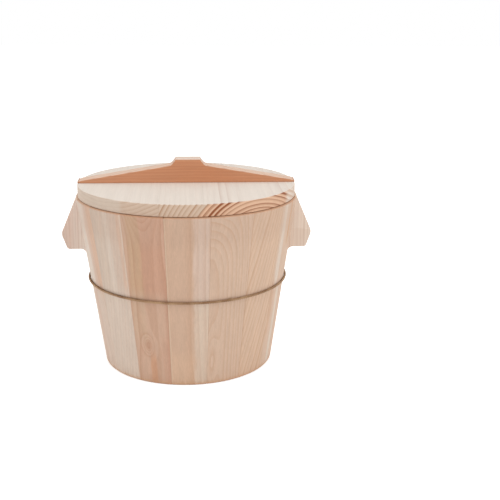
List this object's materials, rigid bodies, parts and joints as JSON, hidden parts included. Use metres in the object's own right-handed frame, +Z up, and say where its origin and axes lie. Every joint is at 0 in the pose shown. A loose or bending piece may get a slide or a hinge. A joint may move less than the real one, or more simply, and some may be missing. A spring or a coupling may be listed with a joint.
{
  "type": "wooden rice steamer bucket",
  "caption": "Tapered wooden rice steamer bucket of pinned staves under a wire hoop, with carved ears, a board lid with a batten handle, and a slatted steam grate inside.",
  "frame": {"origin": "centre of the foot of the wall, on the surface that the bucket stands on", "axes": "+Z up along the bucket's axis, +X towards the right ear and along the lid's handle batten, -Y towards the viewer of the picture"},
  "size_m": [0.2384, 0.2116, 0.1991],
  "materials": {
    "stave_pale": "sanded softwood, satin",
    "stave_grey": "sanded softwood, satin",
    "stave_tan": "sanded softwood, satin",
    "stave_pink": "sanded softwood, satin",
    "lid_wood": "planed softwood, satin",
    "batten_wood": "carved softwood, satin",
    "grate_wood": "planed softwood, matt",
    "bamboo": "split bamboo, satin",
    "hoop_wire": "dull brown drawn wire"
  },
  "bodies": {
    "bucket": {"stave_01": "stave_pink", "stave_02": "stave_grey", "stave_03": "stave_pink", "stave_04": "stave_tan", "stave_05": "stave_pale", "stave_06": "stave_pink", "stave_07": "stave_grey", "stave_08": "stave_pale", "stave_09": "stave_grey", "stave_10": "stave_tan", "stave_11": "stave_pink", "stave_12": "stave_pink", "stave_13": "stave_pale", "stave_14": "stave_grey", "handle_stave_left": "stave_pink", "handle_stave_right": "stave_pale", "hoop_wire": "hoop_wire", "seam_pin_01": "bamboo", "seam_pin_02": "bamboo", "seam_pin_03": "bamboo", "seam_pin_04": "bamboo", "seam_pin_05": "bamboo", "seam_pin_06": "bamboo", "seam_pin_07": "bamboo", "seam_pin_08": "bamboo", "seam_pin_09": "bamboo", "seam_pin_10": "bamboo", "seam_pin_11": "bamboo", "seam_pin_12": "bamboo", "seam_pin_13": "bamboo", "seam_pin_14": "bamboo", "seam_pin_15": "bamboo", "seam_pin_16": "bamboo"},
    "lid": {"lid_board_left": "lid_wood", "lid_board_middle": "lid_wood", "lid_board_right": "lid_wood", "board_pin_left_front": "bamboo", "board_pin_left_back": "bamboo", "board_pin_right_front": "bamboo", "board_pin_right_back": "bamboo", "lid_handle_batten": "batten_wood"},
    "steam_grate": {"grate_slat_1": "grate_wood", "grate_slat_2": "grate_wood", "grate_slat_3": "grate_wood", "grate_slat_4": "grate_wood", "grate_slat_5": "grate_wood", "grate_bearer_left": "grate_wood", "grate_bearer_right": "grate_wood", "grate_peg_01": "bamboo", "grate_peg_02": "bamboo", "grate_peg_03": "bamboo", "grate_peg_04": "bamboo", "grate_peg_05": "bamboo", "grate_peg_06": "bamboo", "grate_peg_07": "bamboo", "grate_peg_08": "bamboo", "grate_peg_09": "bamboo", "grate_peg_10": "bamboo"}
  },
  "joints": [
    {"name": "lid_lift", "type": "slide", "parent": "bucket", "child": "lid", "axis": [0, 0, 1], "range_m": [0, 0.1]},
    {"name": "grate_lift", "type": "slide", "parent": "bucket", "child": "steam_grate", "axis": [0, 0, 1], "range_m": [0, 0.125]}
  ]
}
